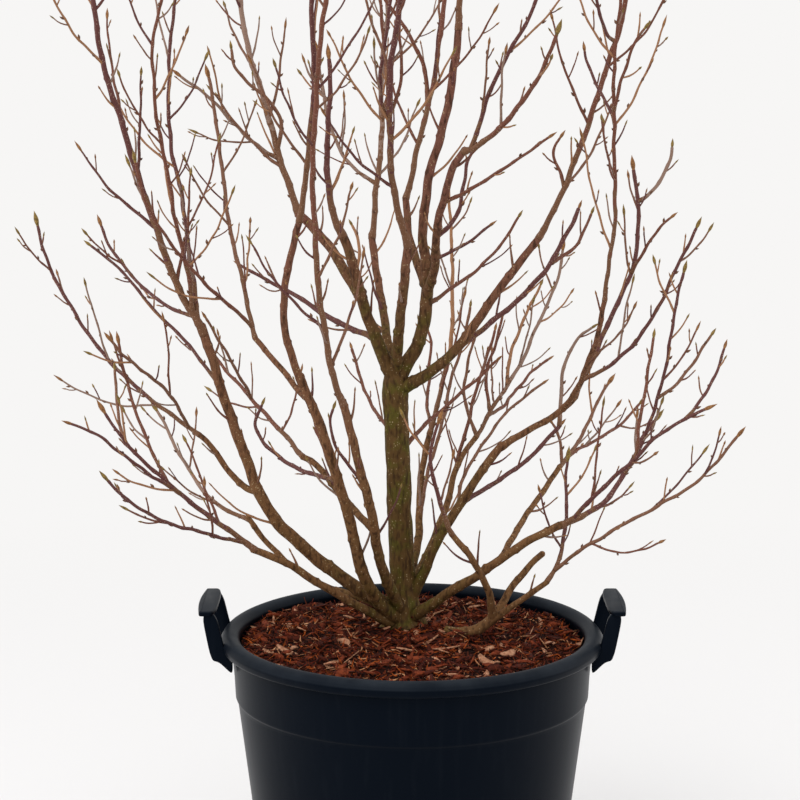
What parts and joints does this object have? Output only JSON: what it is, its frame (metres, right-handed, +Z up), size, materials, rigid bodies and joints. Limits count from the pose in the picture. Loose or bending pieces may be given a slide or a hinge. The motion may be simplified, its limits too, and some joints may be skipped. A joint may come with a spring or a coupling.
{
  "type": "potted magnolia shrub",
  "caption": "Bare, budded magnolia shrub with spreading boughs in a round dark plastic nursery pot with strap handles, topped with bark mulch.",
  "frame": {"origin": "centre of the pot's flat underside", "axes": "+Z up along the trunk, -Y towards the viewer of the picture, +X to the viewer's right through the right handle"},
  "size_m": [0.8265, 0.7012, 1.55],
  "materials": {
    "pot_plastic": "satin black-navy moulded polypropylene",
    "mulch": "red-brown shredded bark",
    "bark": "olive-brown mossy bark",
    "twigs": "dark red-brown young bark with pale dots"
  },
  "bodies": {
    "root": {"bough_back_leader": "bark", "bough_back_low": "bark", "bough_front_left": "bark", "bough_front_left_rise": "bark", "bough_front_middle": "bark", "bough_left_arc": "bark", "bough_left_back": "bark", "bough_left_back_low": "bark", "bough_left_inner": "bark", "bough_left_leader": "bark", "bough_left_low_back": "bark", "bough_left_lowest": "bark", "bough_left_side": "bark", "bough_middle_leader": "bark", "bough_right_arc": "bark", "bough_right_back": "bark", "bough_right_inner": "bark", "bough_right_leader": "bark", "bough_right_low_arc": "bark", "bough_right_low_back": "bark", "bough_right_low_rise": "bark", "bough_right_lowest": "bark", "bough_right_outer": "bark", "bough_right_side": "bark", "bough_right_top": "bark", "bough_sucker_right": "bark", "bough_sucker_stub": "bark", "bough_sucker_upright": "bark", "handle_left": "pot_plastic", "handle_right": "pot_plastic", "mulch": "mulch", "pot": "pot_plastic", "sucker_foot": "bark", "trunk": "bark", "twigs_back_leader": "twigs", "twigs_back_low": "twigs", "twigs_front_left_rise": "twigs", "twigs_front_middle": "twigs", "twigs_left_arc": "twigs", "twigs_left_back": "twigs", "twigs_left_back_low": "twigs", "twigs_left_inner": "twigs", "twigs_left_leader": "twigs", "twigs_left_low_back": "twigs", "twigs_left_lowest": "twigs", "twigs_left_side": "twigs", "twigs_middle_leader": "twigs", "twigs_right_arc": "twigs", "twigs_right_back": "twigs", "twigs_right_inner": "twigs", "twigs_right_low_back": "twigs", "twigs_right_low_rise": "twigs", "twigs_right_lowest": "twigs", "twigs_right_outer": "twigs", "twigs_right_side": "twigs", "twigs_right_top": "twigs", "twigs_sucker_right": "twigs", "twigs_sucker_upright": "twigs"}
  },
  "joints": []
}
